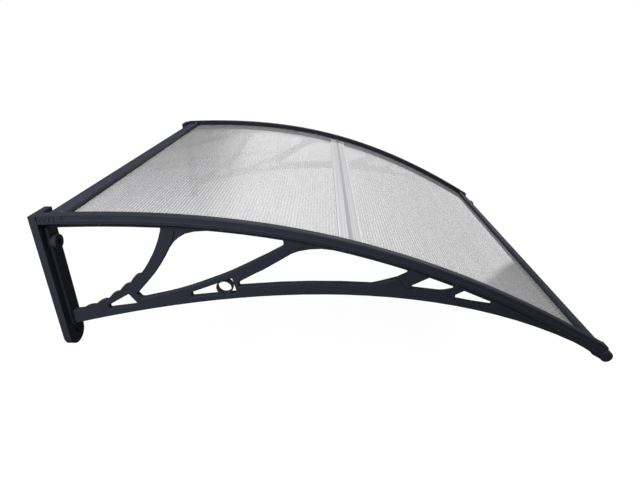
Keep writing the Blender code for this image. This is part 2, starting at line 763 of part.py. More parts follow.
class ScrewHoles:
    """Cutters of the screw holes of one side, shared by all pieces that the screws pass."""

    def __init__(self, side_name, side):
        """Make a hole for each screw, and a pocket for the head of each clamp screw."""
        self.rail = {label: self.rail_hole(f"hole_{label}_{side_name}", side, front)
                     for label, front in RAILS.items()}
        self.clamps = []
        self.pockets = []
        for number, reach in enumerate(clamp_reaches(), 1):
            label = f"clamp_{side_name}_{number}"
            low = -CLAMP_SEAT - CLAMP_POCKET
            tip = CLAMP_SCREW_LENGTH - CLAMP_SEAT
            self.clamps.append(self.hole("hole_" + label, side * CLAMP_X, CLAMP_SCREW_SHANK, reach, low, tip))
            self.pockets.append(self.hole("pocket_" + label, side * CLAMP_X, CLAMP_SCREW_HEAD, reach, low,
                                          -CLAMP_SEAT))
        self.all = list(self.rail.values()) + self.clamps + self.pockets

    def rail_hole(self, name, side, front):
        """Hole of a rail screw, from above the rail to the screw's tip."""
        seat, angle = rail_screw_place(front)
        drop = Vector((sin(angle), -cos(angle)))
        middle = seat + drop * (RAIL_SCREW_LENGTH - CUT_PAST) / 2
        return cylinder(name, RAIL_SCREW_SHANK / 2 + GAP, RAIL_SCREW_LENGTH + CUT_PAST + 2 * GAP,
                        (side * BRACKET_X, -middle.x, middle.y), screw_tilt(angle), vertices=12)

    def hole(self, name, place_x, diameter, reach, low, high):
        """Hole square to the roof curve between two heights over it."""
        middle = ROOF.at(reach, (low + high + GAP) / 2)
        return cylinder(name, diameter / 2 + GAP, high + GAP - low, (place_x, -middle.x, middle.y),
                        screw_tilt(ROOF.angle(reach)), vertices=12)


def head_groove(name, side, number, rear):
    """Cutter of one of the leaning grooves in the outer face of a strip's rear head."""
    place = ROOF.at(rear + HEAD_GROOVE_FIRST + number * HEAD_GROOVE_PITCH, HEAD_GROOVE_MIDDLE)
    lean = radians(HEAD_GROOVE_LEAN - HEAD_GROOVE_TURN * number)
    return box(f"{name}_groove_{number + 1}", (HEAD_GROOVE_DEPTH * 2, HEAD_GROOVE_WIDTH, HEAD_GROOVE_HEIGHT),
               (side * (STRIP_X + STRIP_WIDTH / 2), -place.x, place.y), (lean, 0.0, 0.0))


def build_strip(side_name, side, holes, finish):
    """Cover strip over the sheet's side: swept bar, ribbed rear head and round nose."""
    name = "cover_strip_" + side_name
    half = STRIP_WIDTH / 2
    face = half - STRIP_FACE_INSET
    groove = half - STRIP_GROOVE_INSET
    upper = [(face, STRIP_FACE_TOP), (groove, STRIP_FACE_TOP + STRIP_FACE_INSET), (groove, STRIP_GROOVE_TOP),
             (half, STRIP_GROOVE_TOP + STRIP_FACE_INSET), (half, STRIP_RISE - STRIP_CROWN_ROUND),
             (half - STRIP_CROWN_ROUND, STRIP_RISE)]
    outer = [(half, GAP), (half, STRIP_RIM), (face, STRIP_RIM + STRIP_FACE_INSET)] + upper
    inner = [(half - STRIP_UNDERCUT, GAP), (half - STRIP_UNDERCUT, STRIP_SHADOW),
             (face, STRIP_SHADOW + STRIP_FACE_INSET)] + upper
    section = [(side * across, rise) for across, rise in outer]
    section += [(-side * across, rise) for across, rise in reversed(inner)]
    rear = PLATE_DEPTH + GAP + STRIP_START
    front = ARCH_REACH - STRIP_NOSE_BACK - NOSE_RADIUS / 2
    path = [ROOF.at(reach) for reach in ROOF.stations(rear, front, STRIP_STEP)]
    made = swept_solid(name, section, path, side * STRIP_X)

    reaches = ROOF.stations(rear + STRIP_FACE_INSET, rear + HEAD_LENGTH, HEAD_STEP)
    loop = [ROOF.at(reach, STRIP_RIM / 2) for reach in reaches]
    loop += [ROOF.at(reach, STRIP_RISE - STRIP_FACE_INSET) for reach in reversed(reaches)]
    head = side_solid(name + "_head", [loop], side * STRIP_X, STRIP_WIDTH - STRIP_FACE_INSET / 3, CUTTERS)
    boolean(made, head, "UNION")
    nose_at = ROOF.at(front, STRIP_RISE - NOSE_RADIUS + NOSE_PROUD)
    nose = cylinder(name + "_nose", NOSE_RADIUS, STRIP_WIDTH - STRIP_FACE_INSET / 4,
                    (side * STRIP_X, -nose_at.x, nose_at.y), ALONG_X, vertices=24)
    boolean(made, nose, "UNION")
    grooves = [head_groove(name, side, number, rear) for number in range(HEAD_GROOVES)]
    for cutter in grooves + holes.clamps:
        boolean(made, cutter, "DIFFERENCE")
    dress(made, finish)
    return made


def sheet_loops(first, last):
    """Section of a twin-wall sheet between two distances from the wall: outline and flutes."""
    edges = ROOF.stations(first, last, FLUTE_PITCH)
    rims = edges[::FLUTES_PER_FACET]
    if rims[-1] != edges[-1]:
        rims[-1] = edges[-1]
    loops = [[ROOF.at(reach) for reach in rims]
             + [ROOF.at(reach, -SHEET_THICKNESS) for reach in reversed(rims)]]
    top, low = -SHEET_SKIN, -SHEET_THICKNESS + SHEET_SKIN
    rib = FLUTE_RIB / 2
    for rear, front in zip(edges, edges[1:]):
        near = rib * 2 if rear == edges[0] else rib
        far = rib * 2 if front == edges[-1] else rib
        loops.append([ROOF.at(rear, low, near), ROOF.at(front, low, -far),
                      ROOF.at(front, top, -far), ROOF.at(rear, top, near)])
    return loops


def build_sheet(name, first, last, cutters, finish):
    """One twin-wall sheet with open flutes parallel to the wall."""
    made = side_solid(name, sheet_loops(first, last), 0.0, 2 * SHEET_EDGE)
    for cutter in cutters:
        boolean(made, cutter, "DIFFERENCE")
    dress(made, finish)
    return made


def build_joint(finish):
    """Clear H strip that joins the two sheets."""
    half = JOINT_WIDTH / 2
    web = JOINT_WEB / 2
    top = GAP
    low = -SHEET_THICKNESS - GAP
    crown = top + JOINT_WALL
    rim = top + JOINT_EDGE
    corners = [(-half, top), (-half, rim), (-half + JOINT_LIP, crown), (-JOINT_VALLEY, crown), (-web, rim),
               (web, rim), (JOINT_VALLEY, crown), (half - JOINT_LIP, crown), (half, rim), (half, top),
               (web, top), (web, low), (half, low), (half, low - JOINT_WALL), (-half, low - JOINT_WALL),
               (-half, low), (-web, low), (-web, top)]
    loop = []
    for along, rise in corners:
        loop.append(ROOF.at(JOINT_REACH + along * cos(ROOF.angle(JOINT_REACH)), rise))
    span = 2 * (BRACKET_X - BEARER_INNER_REACH - GAP)
    made = side_solid("joint_strip", [loop], 0.0, span)
    dress(made, finish)
    return made


def build_extrusion(name, loops, cutters, finish):
    """A rail or a seal strip: one section between the cover strips, with its screw holes."""
    made = side_solid(name, loops, 0.0, CLEAR_WIDTH - 2 * GAP)
    for cutter in cutters:
        boolean(made, cutter, "DIFFERENCE")
    dress(made, finish)
    return made


def build_screw(name, shank, head, head_rise, length, location, rotation, finish):
    """Turned pan-head screw, its head's underside at its location, pointing down."""
    radius = head / 2
    profile = [(0.0, head_rise), (radius * 0.55, head_rise * 0.94), (radius * 0.88, head_rise * 0.62),
               (radius, head_rise * 0.2), (radius, 0.0), (shank / 2, 0.0), (shank / 2, -length + shank / 2),
               (0.0, -length)]
    mesh = bpy.data.meshes.new(name)
    work = bmesh.new()
    points = [work.verts.new((across, 0.0, up)) for across, up in profile]
    for first, second in zip(points, points[1:]):
        work.edges.new((first, second))
    work.to_mesh(mesh)
    work.free()
    made = link_mesh(name, mesh, COLLECTION)
    made.location = location
    made.rotation_euler = rotation
    turn = made.modifiers.new("turn", "SCREW")
    turn.steps = 12
    turn.render_steps = 12
    turn.use_merge_vertices = True
    turn.merge_threshold = 0.00001
    dress(made, finish)
    return made


def build_screws(finish):
    """The rail screws and the clamp screws of both sides."""
    for side_name, side in SIDES.items():
        for label, front in RAILS.items():
            seat, angle = rail_screw_place(front)
            lifted = seat + Vector((-sin(angle), cos(angle))) * GAP
            build_screw(f"{label}_rail_screw_{side_name}", RAIL_SCREW_SHANK, RAIL_SCREW_HEAD,
                        RAIL_SCREW_HEAD_RISE, RAIL_SCREW_LENGTH, (side * BRACKET_X, -lifted.x, lifted.y),
                        screw_tilt(angle), finish)
        for number, reach in enumerate(clamp_reaches(), 1):
            angle = ROOF.angle(reach)
            seat = ROOF.at(reach, -CLAMP_SEAT - GAP)
            build_screw(f"clamp_screw_{side_name}_{number}", CLAMP_SCREW_SHANK, CLAMP_SCREW_HEAD,
                        CLAMP_SCREW_HEAD_RISE, CLAMP_SCREW_LENGTH, (side * CLAMP_X, -seat.x, seat.y),
                        (pi - angle, 0.0, 0.0), finish)


def main():
    """Build the canopy."""
    clear_scene()
    plastic = material("charcoal moulded plastic", (0.036, 0.039, 0.049), 0.42)
    coated = material("charcoal coated aluminium", (0.050, 0.053, 0.061), 0.38)
    clear = material("clear polycarbonate", (0.80, 0.81, 0.80), 0.12, transmission=0.7)
    rubber = material("black rubber", (0.012, 0.012, 0.014), 0.7)
    steel = material("zinc plated steel", (0.62, 0.62, 0.63), 0.3, 1.0)

    holes = {side_name: ScrewHoles(side_name, side) for side_name, side in SIDES.items()}
    for side_name, side in SIDES.items():
        build_bracket(side_name, side, holes[side_name], plastic)
        build_strip(side_name, side, holes[side_name], plastic)
    rear_edge = RAIL_REACH + RAIL_WALL + GAP
    front_edge = rail_point(True, RAIL_WALL + GAP, 0.0).x
    joint_gap = (JOINT_WEB / 2 + GAP) * cos(ROOF.angle(JOINT_REACH))
    rail_holes = {label: [holes[side_name].rail[label] for side_name in SIDES] for label in RAILS}
    build_sheet("sheet_rear", rear_edge, JOINT_REACH - joint_gap, rail_holes["wall"], clear)
    build_sheet("sheet_front", JOINT_REACH + joint_gap, front_edge, rail_holes["front"], clear)
    build_joint(clear)
    for label, front in RAILS.items():
        build_extrusion(label + "_rail", rail_loops(front), rail_holes[label], coated)
        build_extrusion(label + "_rail_gasket", [gasket_loop(front)], rail_holes[label], rubber)
    build_screws(steel)


if __name__ == "__main__":
    main()
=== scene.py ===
"""Looks of the polycarbonate door canopy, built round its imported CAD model.

The wall is the plane Y = 0 and the canopy reaches out along -Y. X runs along the wall and Z is up.
Every length is in metres.
"""

import logging
from bisect import bisect
from dataclasses import dataclass, field
from enum import Enum
from math import cos, radians, sin
from typing import Sequence

import bmesh
import bpy
from mathutils import Matrix, Vector


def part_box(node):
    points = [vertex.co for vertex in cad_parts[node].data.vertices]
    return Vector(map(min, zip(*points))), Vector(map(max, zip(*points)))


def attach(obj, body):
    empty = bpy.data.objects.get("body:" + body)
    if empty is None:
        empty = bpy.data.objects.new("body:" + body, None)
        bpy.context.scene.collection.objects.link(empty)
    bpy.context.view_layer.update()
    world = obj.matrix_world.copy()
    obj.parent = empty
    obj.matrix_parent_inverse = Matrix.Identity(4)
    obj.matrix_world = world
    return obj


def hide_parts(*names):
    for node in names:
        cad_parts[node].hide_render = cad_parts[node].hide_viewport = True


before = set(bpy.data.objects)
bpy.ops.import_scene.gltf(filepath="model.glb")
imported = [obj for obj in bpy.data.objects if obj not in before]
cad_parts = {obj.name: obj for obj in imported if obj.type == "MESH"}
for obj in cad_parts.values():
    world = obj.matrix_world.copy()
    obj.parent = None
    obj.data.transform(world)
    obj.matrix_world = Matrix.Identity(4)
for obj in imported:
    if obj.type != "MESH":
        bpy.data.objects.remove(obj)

LOG = logging.getLogger("door_canopy")

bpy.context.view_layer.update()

Colour = tuple[float, float, float, float]

BODY = "root"
MM = 0.001
MERGE = 0.01 * MM
WHITE: Colour = (1.0, 1.0, 1.0, 1.0)
POLYCARBONATE_IOR = 1.58

# Most values of a noise texture lie between these two
NOISE_LOW = 0.3
NOISE_HIGH = 0.7


class Side(Enum):
    """The two sides of the canopy and the sign of X there."""

    LEFT = -1
    RIGHT = 1

    @property
    def word(self) -> str:
        """Name of the side in node names."""
        return self.name.lower()


class Rail(Enum):
    """The two rails."""

    WALL = "wall"
    FRONT = "front"


def linear(code: str) -> Colour:
    """Turn an sRGB hex colour into linear light.

    Args:
        code: Six hex digits, with or without a leading mark.

    Returns:
        Red, green, blue and an alpha of one.
    """
    digits = code.lstrip("#")
    shares = [int(digits[place:place + 2], 16) / 255 for place in (0, 2, 4)]
    light = [share / 12.92 if share <= 0.04045 else ((share + 0.055) / 1.055) ** 2.4
             for share in shares]
    return (light[0], light[1], light[2], 1.0)


def add_node(tree: bpy.types.NodeTree, kind: str, values: dict[str | int, object] | None = None,
             links: dict[str | int, bpy.types.NodeSocket] | None = None,
             **settings: object) -> bpy.types.Node:
    """Add a shader node with its settings, socket values and incoming links.

    Args:
        tree: Node tree that takes the node.
        kind: Type name of the node.
        values: Socket name or number to a plain value.
        links: Socket name or number to the output socket that feeds it.
        settings: Attributes of the node itself.

    Returns:
        The new node.
    """
    node = tree.nodes.new(kind)
    for name, setting in settings.items():
        setattr(node, name, setting)
    for socket, value in (values or {}).items():
        node.inputs[socket].default_value = value
    for socket, source in (links or {}).items():
        tree.links.new(source, node.inputs[socket])
    return node


def new_material(name: str) -> tuple[bpy.types.Material, bpy.types.NodeTree, bpy.types.Node]:
    """Make a material with a bare Principled shader.

    Args:
        name: Name of the material.

    Returns:
        The material, its node tree and its shader node.
    """
    made = bpy.data.materials.new(name)
    made.use_nodes = True
    tree = made.node_tree
    return made, tree, tree.nodes["Principled BSDF"]


@dataclass(frozen=True)
class MouldedPlastic:
    """Charcoal polypropylene, injection moulded in a spark-eroded tool: satin with a fine grain."""

    colour: str = "#262931"
    worn: str = "#31343D"
    worn_between: tuple[float, float] = (0.60, 0.78)
    worn_share: float = 0.5
    glossy: float = 0.36
    dull: float = 0.52
    cloud: float = 60 * MM
    rub: float = 10 * MM
    grain: float = 0.9 * MM
    grain_depth: float = 0.1 * MM
    grain_strength: float = 0.25
    ior: float = 1.49
    specular: float = 0.2

    def material(self) -> bpy.types.Material:
        """Build the moulded plastic.

        Returns:
            The material, with grain, cloudy gloss and faint rubbed spots.
        """
        made, tree, shader = new_material("moulded_charcoal_polypropylene")
        place = add_node(tree, "ShaderNodeTexCoord").outputs["Object"]
        clouds = add_node(tree, "ShaderNodeTexNoise", {"Scale": 1 / self.cloud, "Detail": 3.0},
                          {"Vector": place})
        gloss = add_node(tree, "ShaderNodeMapRange",
                         {"From Min": NOISE_LOW, "From Max": NOISE_HIGH, "To Min": self.glossy,
                          "To Max": self.dull}, {"Value": clouds.outputs["Fac"]})
        tree.links.new(gloss.outputs["Result"], shader.inputs["Roughness"])
        rubbed = add_node(tree, "ShaderNodeTexNoise",
                          {"Scale": 1 / self.rub, "Detail": 4.0, "Roughness": 0.7},
                          {"Vector": place})
        spots = add_node(tree, "ShaderNodeMapRange",
                         {"From Min": self.worn_between[0], "From Max": self.worn_between[1],
                          "To Max": self.worn_share}, {"Value": rubbed.outputs["Fac"]})
        tint = add_node(tree, "ShaderNodeMix", {"A": linear(self.colour), "B": linear(self.worn)},
                        {"Factor": spots.outputs["Result"]}, data_type="RGBA")
        tree.links.new(tint.outputs["Result"], shader.inputs["Base Color"])
        grain = add_node(tree, "ShaderNodeTexNoise", {"Scale": 1 / self.grain, "Detail": 2.0},
                         {"Vector": place})
        bump = add_node(tree, "ShaderNodeBump",
                        {"Strength": self.grain_strength, "Distance": self.grain_depth},
                        {"Height": grain.outputs["Fac"]})
        tree.links.new(bump.outputs["Normal"], shader.inputs["Normal"])
        shader.inputs["IOR"].default_value = self.ior
        shader.inputs["Specular IOR Level"].default_value = self.specular
        return made


@dataclass(frozen=True)
class CoatedAluminium:
    """Extruded aluminium under a satin charcoal powder coat: even, with faint orange peel."""

    colour: str = "#2A2D37"
    lighter: str = "#30333D"
    glossy: float = 0.38
    dull: float = 0.48
    patch: float = 90 * MM
    peel: float = 2.2 * MM
    peel_depth: float = 0.05 * MM
    peel_strength: float = 0.2
    specular: float = 0.2

    def material(self) -> bpy.types.Material:
        """Build the powder coat.

        Returns:
            The material, with the coat's shallow waves.
        """
        made, tree, shader = new_material("powder_coated_aluminium")
        place = add_node(tree, "ShaderNodeTexCoord").outputs["Object"]
        waves = add_node(tree, "ShaderNodeTexNoise", {"Scale": 1 / self.peel, "Detail": 1.0},
                         {"Vector": place})
        bump = add_node(tree, "ShaderNodeBump",
                        {"Strength": self.peel_strength, "Distance": self.peel_depth},
                        {"Height": waves.outputs["Fac"]})
        tree.links.new(bump.outputs["Normal"], shader.inputs["Normal"])
        tone = add_node(tree, "ShaderNodeTexNoise", {"Scale": 1 / self.patch, "Detail": 2.0},
                        {"Vector": place})
        gloss = add_node(tree, "ShaderNodeMapRange",
                         {"From Min": NOISE_LOW, "From Max": NOISE_HIGH, "To Min": self.glossy,
                          "To Max": self.dull}, {"Value": tone.outputs["Fac"]})
        tree.links.new(gloss.outputs["Result"], shader.inputs["Roughness"])
        tint = add_node(tree, "ShaderNodeMix",
                        {"A": linear(self.colour), "B": linear(self.lighter)},
                        {"Factor": tone.outputs["Fac"]}, data_type="RGBA")
        tree.links.new(tint.outputs["Result"], shader.inputs["Base Color"])
        shader.inputs["Specular IOR Level"].default_value = self.specular
        return made


@dataclass(frozen=True)
class TwinWallPolycarbonate:
    """Clear twin-wall polycarbonate: glossy extruded skins that show each rib as a fine line.

    rib_edge holds shares of the pitch: from the rib's middle, the line is full up to the first
    and gone at the second. square_on is the share of the opacity that stays in a square view.
    """

    skin: str = "#CAC8CA"
    shade: str = "#B6B4B6"
    line: str = "#E6E5E7"
    opacity: float = 0.41
    rib_opacity: float = 0.58
    rib_edge: tuple[float, float] = (0.04, 0.17)
    streak: tuple[float, float, float] = (0.35, 1.2, 1.0)
    milk: float = 0.05
    square_on: float = 0.45
    slant: tuple[float, float] = (0.15, 0.55)
    roughness: float = 0.05
    coat_roughness: float = 0.03

    def material(self) -> bpy.types.Material:
        """Build the sheet's finish from its UV map: U counts flutes, V is metres along them.

        Returns:
            The material, see-through between the ribs, milky along them and denser at a slant.
        """
        made, tree, shader = new_material("extruded_twin_wall_polycarbonate")
        uv = add_node(tree, "ShaderNodeUVMap", uv_map="flutes").outputs["UV"]
        split = add_node(tree, "ShaderNodeSeparateXYZ", links={"Vector": uv})
        flute = add_node(tree, "ShaderNodeMath", {1: 0.5}, {0: split.outputs["X"]},
                         operation="ADD")
        across = add_node(tree, "ShaderNodeMath", {1: 1.0}, {0: flute.outputs["Value"]},
                          operation="FLOORED_MODULO")
        away = add_node(tree, "ShaderNodeMath", {1: 0.5}, {0: across.outputs["Value"]},
                        operation="SUBTRACT")
        side = add_node(tree, "ShaderNodeMath", links={0: away.outputs["Value"]},
                        operation="ABSOLUTE")
        rib = add_node(tree, "ShaderNodeMapRange",
                       {"From Min": self.rib_edge[0], "From Max": self.rib_edge[1],
                        "To Min": 1.0, "To Max": 0.0},
                       {"Value": side.outputs["Value"]}, interpolation_type="SMOOTHSTEP")
        streaks = add_node(tree, "ShaderNodeMapping", {"Scale": self.streak}, {"Vector": uv})
        cloud = add_node(tree, "ShaderNodeTexNoise",
                         {"Scale": 1.0, "Detail": 3.0, "Roughness": 0.55},
                         {"Vector": streaks.outputs["Vector"]})
        milk = add_node(tree, "ShaderNodeMapRange",
                        {"From Min": NOISE_LOW, "From Max": NOISE_HIGH, "To Min": -self.milk,
                         "To Max": self.milk}, {"Value": cloud.outputs["Fac"]})
        veil = add_node(tree, "ShaderNodeMapRange",
                        {"To Min": self.opacity, "To Max": self.rib_opacity},
                        {"Value": rib.outputs["Result"]})
        alpha = add_node(tree, "ShaderNodeMath",
                         links={0: veil.outputs["Result"], 1: milk.outputs["Result"]},
                         operation="ADD")
        turned = add_node(tree, "ShaderNodeLayerWeight", {"Blend": 0.5})
        slant = add_node(tree, "ShaderNodeMapRange",
                         {"From Min": self.slant[0], "From Max": self.slant[1],
                          "To Min": self.square_on}, {"Value": turned.outputs["Facing"]})
        cover = add_node(tree, "ShaderNodeMath",
                         links={0: alpha.outputs["Value"], 1: slant.outputs["Result"]},
                         operation="MULTIPLY")
        tree.links.new(cover.outputs["Value"], shader.inputs["Alpha"])
        base = add_node(tree, "ShaderNodeMix", {"A": linear(self.shade), "B": linear(self.skin)},
                        {"Factor": cloud.outputs["Fac"]}, data_type="RGBA")
        tint = add_node(tree, "ShaderNodeMix", {"B": linear(self.line)},
                        {"Factor": rib.outputs["Result"], "A": base.outputs["Result"]},
                        data_type="RGBA")
        tree.links.new(tint.outputs["Result"], shader.inputs["Base Color"])
        shader.inputs["Roughness"].default_value = self.roughness
        shader.inputs["IOR"].default_value = POLYCARBONATE_IOR
        shader.inputs["Coat Weight"].default_value = 1.0
        shader.inputs["Coat Roughness"].default_value = self.coat_roughness
        shader.inputs["Coat IOR"].default_value = POLYCARBONATE_IOR
        return made


@dataclass(frozen=True)
class ClearExtrusion:
    """Clear solid polycarbonate strip: glossy and milky, with a painted highlight along each rim
    and painted shade down the middle.

    The painted shade lies over the slit between the sheets. Lengths are distances from the wall for
    middle, and from the strip's middle line for the slit shade and the rim highlight.
    """

    colour: str = "#DCDBDD"
    inner: str = "#B4B3B6"
    rim_highlight: str = "#F2F2F3"
    slit_shade: str = "#A3A2A6"
    middle: float = 0.5155
    slit_shade_edge: float = 5.5 * MM
    slit_shade_core: float = 5.5 * MM / 3
    rim_highlight_start: float = 18.2 * MM
    rim_highlight_full: float = 19.7 * MM
    die_line: tuple[float, float, float] = (1.5, 500.0, 500.0)
    clear: float = 0.62
    milky: float = 0.80
    roughness: float = 0.07

    def material(self) -> bpy.types.Material:
        """Build the clear strip's finish.

        Returns:
            The material, with faint die lines, painted slit shade and painted rim highlights.
        """
        made, tree, shader = new_material("extruded_clear_polycarbonate")
        place = add_node(tree, "ShaderNodeTexCoord").outputs["Object"]
        stretch = add_node(tree, "ShaderNodeMapping", {"Scale": self.die_line}, {"Vector": place})
        lines = add_node(tree, "ShaderNodeTexNoise", {"Scale": 1.0, "Detail": 2.0},
                         {"Vector": stretch.outputs["Vector"]})
        alpha = add_node(tree, "ShaderNodeMapRange",
                         {"From Min": NOISE_LOW, "From Max": NOISE_HIGH, "To Min": self.clear,
                          "To Max": self.milky}, {"Value": lines.outputs["Fac"]})
        tree.links.new(alpha.outputs["Result"], shader.inputs["Alpha"])
        tint = add_node(tree, "ShaderNodeMix", {"A": linear(self.inner), "B": linear(self.colour)},
                        {"Factor": lines.outputs["Fac"]}, data_type="RGBA")
        reach = add_node(tree, "ShaderNodeSeparateXYZ", links={"Vector": place})
        off = add_node(tree, "ShaderNodeMath", {1: self.middle}, {0: reach.outputs["Y"]},
                       operation="ADD")
        away = add_node(tree, "ShaderNodeMath", links={0: off.outputs["Value"]},
                        operation="ABSOLUTE")
        # Painted shade: the strip is darker over the slit between the sheets, where the gap lies in
        # shade.
        slit_shade_mask = add_node(tree, "ShaderNodeMapRange",
                        {"From Min": self.slit_shade_edge, "From Max": self.slit_shade_core},
                        {"Value": away.outputs["Value"]}, interpolation_type="SMOOTHSTEP")
        slit_shade = add_node(tree, "ShaderNodeMix", {"B": linear(self.slit_shade)},
                        {"Factor": slit_shade_mask.outputs["Result"], "A": tint.outputs["Result"]},
                        data_type="RGBA")
        # Painted highlight: the strip is lighter along both rims.
        rim_highlight = add_node(tree, "ShaderNodeMapRange",
                       {"From Min": self.rim_highlight_start, "From Max": self.rim_highlight_full},
                       {"Value": away.outputs["Value"]}, interpolation_type="SMOOTHSTEP")
        banded = add_node(tree, "ShaderNodeMix", {"B": linear(self.rim_highlight)},
                          {"Factor": rim_highlight.outputs["Result"], "A": slit_shade.outputs["Result"]},
                          data_type="RGBA")
        tree.links.new(banded.outputs["Result"], shader.inputs["Base Color"])
        shader.inputs["Roughness"].default_value = self.roughness
        shader.inputs["IOR"].default_value = POLYCARBONATE_IOR
        return made


@dataclass(frozen=True)
class SealRubber:
    """Black EPDM seal, extruded: matt with a dusty bloom."""

    colour: str = "#111113"
    bloom: str = "#26272A"
    patch: float = 12 * MM
    dust_depth: float = 0.1 * MM
    dust_strength: float = 0.3
    roughness: float = 0.75

    def material(self) -> bpy.types.Material:
        """Build the seal's finish.

        Returns:
            The material, with patchy bloom.
        """
        made, tree, shader = new_material("extruded_epdm_rubber")
        place = add_node(tree, "ShaderNodeTexCoord").outputs["Object"]
        dust = add_node(tree, "ShaderNodeTexNoise", {"Scale": 1 / self.patch, "Detail": 4.0},
                        {"Vector": place})
        tint = add_node(tree, "ShaderNodeMix", {"A": linear(self.colour), "B": linear(self.bloom)},
                        {"Factor": dust.outputs["Fac"]}, data_type="RGBA")
        tree.links.new(tint.outputs["Result"], shader.inputs["Base Color"])
        bump = add_node(tree, "ShaderNodeBump",
                        {"Strength": self.dust_strength, "Distance": self.dust_depth},
                        {"Height": dust.outputs["Fac"]})
        tree.links.new(bump.outputs["Normal"], shader.inputs["Normal"])
        shader.inputs["Roughness"].default_value = self.roughness
        return made


@dataclass(frozen=True)
class ZincPlatedSteel:
    """Zinc plated steel: bright, slightly clouded by the passivated skin."""

    colour: str = "#C9CBCD"
    clouded: str = "#9C9EA3"
    patch: float = 2 * MM
    glossy: float = 0.22
    dull: float = 0.42

    def material(self) -> bpy.types.Material:
        """Build the zinc plating.

        Returns:
            The material, with a clouded sheen.
        """
        made, tree, shader = new_material("zinc_plated_steel")
        place = add_node(tree, "ShaderNodeTexCoord").outputs["Object"]
        cloud = add_node(tree, "ShaderNodeTexNoise", {"Scale": 1 / self.patch, "Detail": 3.0},
                         {"Vector": place})
        tint = add_node(tree, "ShaderNodeMix",
                        {"A": linear(self.clouded), "B": linear(self.colour)},
                        {"Factor": cloud.outputs["Fac"]}, data_type="RGBA")
        tree.links.new(tint.outputs["Result"], shader.inputs["Base Color"])
        gloss = add_node(tree, "ShaderNodeMapRange", {"To Min": self.glossy, "To Max": self.dull},
                         {"Value": cloud.outputs["Fac"]})
        tree.links.new(gloss.outputs["Result"], shader.inputs["Roughness"])
        shader.inputs["Metallic"].default_value = 1.0
        return made


@dataclass
class Finishes:
    """The finishes of the canopy, each made once."""

    plastic: bpy.types.Material = field(default_factory=lambda: MouldedPlastic().material())
    coated: bpy.types.Material = field(default_factory=lambda: CoatedAluminium().material())
    sheet: bpy.types.Material = field(default_factory=lambda: TwinWallPolycarbonate().material())
    clear: bpy.types.Material = field(default_factory=lambda: ClearExtrusion().material())
    rubber: bpy.types.Material = field(default_factory=lambda: SealRubber().material())
    zinc: bpy.types.Material = field(default_factory=lambda: ZincPlatedSteel().material())


@dataclass(frozen=True)
class RoofCurve:
    """The roof's curve in the side view, on the sheets' upper face.

    Its points hold the distance from the wall and the height. The handles are shares of the reach
    and the drop, the rear one from the wall and the front one back from the end.
    """

    reach: float = 1.000
    drop: float = 0.265
    rear_handle: tuple[float, float] = (0.347, 0.059)
    front_handle: tuple[float, float] = (0.380, 0.875)
    walk_steps: int = 3000

    def point(self, share: float) -> Vector:
        """Find a point of the curve.

        Args:
            share: Share of the curve's parameter, from 0 at the wall to 1 at the end.

        Returns:
            Distance from the wall and height.
        """
        rest = 1.0 - share
        rear = Vector((self.reach * self.rear_handle[0], self.drop * self.rear_handle[1]))
        end = Vector((self.reach, -self.drop))
        back = Vector((-self.reach * self.front_handle[0], self.drop * self.front_handle[1]))
        front = end + back
        return rear * 3 * share * rest ** 2 + front * 3 * share ** 2 * rest + end * share ** 3

    def places(self, first: float, last: float, step: float) -> list[tuple[Vector, Vector]]:
        """Walk the curve between two distances from the wall in equal steps.

        Args:
            first: Distance from the wall of the first place.
            last: Distance from the wall of the last place.
            step: Wanted length of a step along the curve.

        Returns:
            Point and unit normal at each place.
        """
        points = [self.point(index / self.walk_steps) for index in range(self.walk_steps + 1)]
        inside = [point for point in points if first <= point.x <= last]
        lengths = [0.0]
        for before, after in zip(inside, inside[1:]):
            lengths.append(lengths[-1] + (after - before).length)
        count = max(int(round(lengths[-1] / step)), 1)
        found = []
        cursor = 0
        for index in range(count + 1):
            while cursor < len(lengths) - 1 and lengths[cursor] < lengths[-1] * index / count:
                cursor += 1
            behind = inside[max(cursor - 1, 0)]
            ahead = inside[min(cursor + 1, len(inside) - 1)]
            along = (ahead - behind).normalized()
            found.append((inside[cursor], Vector((-along.y, along.x))))
        return found


ROOF = RoofCurve()


def put_in_scene(name: str, work: bmesh.types.BMesh, finish: bpy.types.Material,
                 nodes: Sequence[str]) -> bpy.types.Object:
    """Turn a bmesh into a finished piece that rides on the canopy's body.

    Args:
        name: Name of the piece.
        work: The mesh, freed here.
        finish: Its material.
        nodes: CAD nodes that it stands for.

    Returns:
        The new object, at the origin.
    """
    mesh = bpy.data.meshes.new(name)
    work.to_mesh(mesh)
    work.free()
    mesh.materials.append(finish)
    piece = bpy.data.objects.new(name, mesh)
    bpy.context.scene.collection.objects.link(piece)
    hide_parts(*nodes)
    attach(piece, BODY)
    LOG.info("%s: %d faces", name, len(mesh.polygons))
    return piece


@dataclass
class CastPiece:
    """A CAD node carried over as one smooth skin with rounded edges. Angles are in degrees."""

    node: str
    slot: str
    finish: bpy.types.Material
    edge_round: float
    segments: int = 2
    sharp_angle: float = 32.0
    flat_angle: float = 0.5

    def build(self) -> bpy.types.Object:
        """Merge a copy of the node, round its edges and shade it smooth.

        Returns:
            The piece that stands for the node.
        """
        work = bmesh.new()
        work.from_mesh(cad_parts[self.node].data)
        bmesh.ops.remove_doubles(work, verts=work.verts, dist=MERGE)
        bmesh.ops.dissolve_limit(work, angle_limit=radians(self.flat_angle), verts=work.verts,
                                 edges=work.edges)
        for face in work.faces:
            face.smooth = True
        piece = put_in_scene(self.node + "_skin", work, self.finish, [self.node])
        edge = piece.modifiers.new("rounded_edges", "BEVEL")
        edge.width = self.edge_round
        edge.segments = self.segments
        edge.limit_method = "ANGLE"
        edge.angle_limit = radians(self.sharp_angle)
        edge.harden_normals = True
        edge.miter_outer = "MITER_ARC"
        flat = piece.modifiers.new("even_faces", "WEIGHTED_NORMAL")
        flat.keep_sharp = True
        return piece


